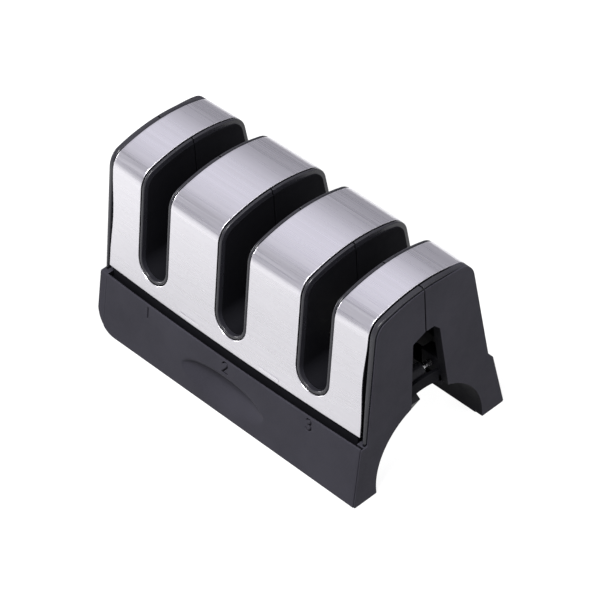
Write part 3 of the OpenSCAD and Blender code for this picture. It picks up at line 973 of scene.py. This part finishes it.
M_BRASS = brushed("m_brass", (0.72, 0.58, 0.30), 0.33, (1, 1, 1), 2600.0, 0.000005, 0.08)
# Painted shade: the latch plastic is darker than the shell, standing in for the shade of the notch it sits in.
M_LATCH_PAINTED_SHADE = plastic("m_latch_painted_shade", (0.009, 0.009, 0.011), 0.5, spec=0.12)
# Painted shade: the spring steel is darker than the other steel parts, to damp its sparkle in the dark cavity.
M_SPRING_PAINTED_SHADE = brushed("m_spring_painted_shade", (0.34, 0.34, 0.35), 0.3, (1, 1, 1), 4000.0, 0.000004, 0.08)

NODE_MATS = {
    "shell_screws": M_ZINC, "holder_front": M_HOLDER, "holder_rear": M_HOLDER,
    "carbide_blade_front": M_CARBIDE, "carbide_blade_rear": M_CARBIDE, "holder_screws": M_ZINC,
    "diamond_wheel_left": M_DIAMOND, "diamond_wheel_right": M_DIAMOND, "diamond_hub": M_HUB,
    "diamond_axle": M_AXLE, "diamond_washers": M_BRASS,
    "ceramic_wheel_left": M_CERAMIC, "ceramic_wheel_right": M_CERAMIC, "ceramic_hub": M_HUB,
    "ceramic_axle": M_AXLE, "ceramic_washers": M_BRASS,
    "latch_left": M_LATCH_PAINTED_SHADE, "latch_right": M_LATCH_PAINTED_SHADE, "latch_pin_left": M_AXLE, "latch_pin_right": M_AXLE,
    "latch_spring_left": M_SPRING_PAINTED_SHADE, "latch_spring_right": M_SPRING_PAINTED_SHADE,
}
for n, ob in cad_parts.items():
    if n in NODE_MATS:
        if not ob.material_slots:
            ob.data.materials.append(NODE_MATS[n])
        for s in ob.material_slots:
            s.material = NODE_MATS[n]

# ---------------------------------------------------------------- the pieces
front = half_shell("front_shell_skin", False)
rear = half_shell("rear_shell_skin", True)
cover = steel()
for ob, mat, node, slot in ((front, M_SHELL, "front_shell", "shell_plastic"), (rear, M_SHELL, "rear_shell", "shell_plastic"), (cover, M_STEEL, "steel_cover", "cover_steel")):
    ob.data.materials.append(mat)
    if mat is M_SHELL:
        # Slot 1 is the painted shade plastic.
        ob.data.materials.append(M_PAINTED_SHADE)
        ob.data.materials.append(M_BEAD)
    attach(ob, "housing")
    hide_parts(node)

# ---------------------------------------------------------------- floor, light, camera
def make_floor():
    bm = bmesh.new()
    n, size = 24, 3.0
    vs = [[bm.verts.new(((i / n - 0.5) * size, (j / n - 0.5) * size, -0.00002)) for j in range(n + 1)] for i in range(n + 1)]
    for i in range(n):
        for j in range(n):
            bm.faces.new((vs[i][j], vs[i + 1][j], vs[i + 1][j + 1], vs[i][j + 1]))
    me = bpy.data.meshes.new("floor")
    bm.to_mesh(me)
    bm.free()
    ob = bpy.data.objects.new("floor", me)
    bpy.context.scene.collection.objects.link(ob)
    m = Mat("m_floor", (0.12, 0.12, 0.12), 0.8, 0.0, 0.1)
    m.col = m.mix(m.ramp(m.noise(8.0, 3.0), 0.3, 0.7, 0.0, 1.0), (0.117, 0.117, 0.117), (0.123, 0.123, 0.123))
    g = m.node("ShaderNodeVectorMath", operation="LENGTH")
    m.link(m.coord.outputs["Object"], g.inputs[0])
    m.bsdf.inputs["Emission Color"].default_value = (1, 1, 1, 1)
    # The floor glows, painted light: its glow is dimmer within 120 mm of the middle, a painted soft shadow round the
    # object, and stronger again within 58 mm, painted light on the ground under the arch.
    floor_glow_painted_light_and_shade = m.node("ShaderNodeMath", operation="ADD")
    m.link(m.ramp(g.outputs["Value"], 0.055, 0.12, 0.74, 1.22), floor_glow_painted_light_and_shade.inputs[0])
    m.link(m.ramp(g.outputs["Value"], 0.035, 0.058, 0.24, 0.0), floor_glow_painted_light_and_shade.inputs[1])
    m.link(floor_glow_painted_light_and_shade.outputs[0], m.bsdf.inputs["Emission Strength"])
    me.materials.append(m.done())


make_floor()


def area(name, loc, target, size, power, color=(1, 1, 1)):
    li = bpy.data.lights.new(name, "AREA")
    li.shape = "RECTANGLE"
    li.size, li.size_y = size
    li.energy = power
    li.color = color
    ob = bpy.data.objects.new(name, li)
    bpy.context.scene.collection.objects.link(ob)
    ob.location = loc
    d = Vector(target) - Vector(loc)
    ob.rotation_mode = "QUATERNION"
    ob.rotation_quaternion = d.to_track_quat("-Z", "Y")
    return ob


area("key", (0.16, -0.46, 1.12), (0, 0, 0.02), (0.42, 0.42), 30.0)
area("side", (0.80, 0.35, 0.80), (0, 0, 0.02), (0.6, 0.6), 3.2)
area("left", (-1.0, -0.24, 0.15), (0, 0, 0.02), (0.35, 0.35), 9.0)

w = bpy.data.worlds.new("studio")
w.use_nodes = True
wt = w.node_tree
bg = wt.nodes["Background"]
tc = wt.nodes.new("ShaderNodeTexCoord")
sep = wt.nodes.new("ShaderNodeSeparateXYZ")
wt.links.new(tc.outputs["Generated"], sep.inputs[0])
slant = wt.nodes.new("ShaderNodeMapRange")
for k, v in (("From Min", -0.85), ("From Max", 0.85), ("To Min", 0.60), ("To Max", 0.42)):
    slant.inputs[k].default_value = v
wt.links.new(sep.outputs["Y"], slant.inputs["Value"])
dot = wt.nodes.new("ShaderNodeVectorMath")
dot.operation = "DOT_PRODUCT"
dot.inputs[1].default_value = (-0.56, 0.35, 0.75)
wt.links.new(tc.outputs["Generated"], dot.inputs[0])
lobe = wt.nodes.new("ShaderNodeMapRange")
lobe.interpolation_type = "SMOOTHSTEP"
for k, v in (("From Min", 0.91), ("From Max", 1.0), ("To Min", 0.0), ("To Max", 0.74)):
    lobe.inputs[k].default_value = v
wt.links.new(dot.outputs["Value"], lobe.inputs["Value"])
add = wt.nodes.new("ShaderNodeMath")
wt.links.new(slant.outputs["Result"], add.inputs[0])
wt.links.new(lobe.outputs["Result"], add.inputs[1])
bg.inputs["Color"].default_value = (0.98, 0.965, 1.06, 1)
wt.links.new(add.outputs[0], bg.inputs["Strength"])
bpy.context.scene.world = w
bpy.context.scene.view_settings.view_transform = "Standard"
bpy.context.scene.view_settings.look = "None"

yaw, pitch, roll = rad(49.032), rad(41.8128), rad(-3.828)
back = Vector((math.sin(yaw) * math.cos(pitch), -math.cos(yaw) * math.cos(pitch), math.sin(pitch)))
right = Vector((math.cos(yaw), math.sin(yaw), 0))
up = back.cross(right)
r2 = right * math.cos(roll) + up * math.sin(roll)
u2 = -right * math.sin(roll) + up * math.cos(roll)
cam = bpy.data.cameras.new("camera")
cam.sensor_width = 36.0
cam.lens = 3422.52 * 36.0 / 600.0
cam.shift_x, cam.shift_y = 8.851 / 600.0, -21.3704 / 600.0
cam.clip_start, cam.clip_end = 0.05, 20.0
co = bpy.data.objects.new("camera", cam)
bpy.context.scene.collection.objects.link(co)
pos = Vector((0, 0, 0.025)) + back * 0.7376573
rot = Matrix((r2, u2, back)).transposed()
co.matrix_world = Matrix.Translation(pos) @ rot.to_4x4()
bpy.context.scene.camera = co
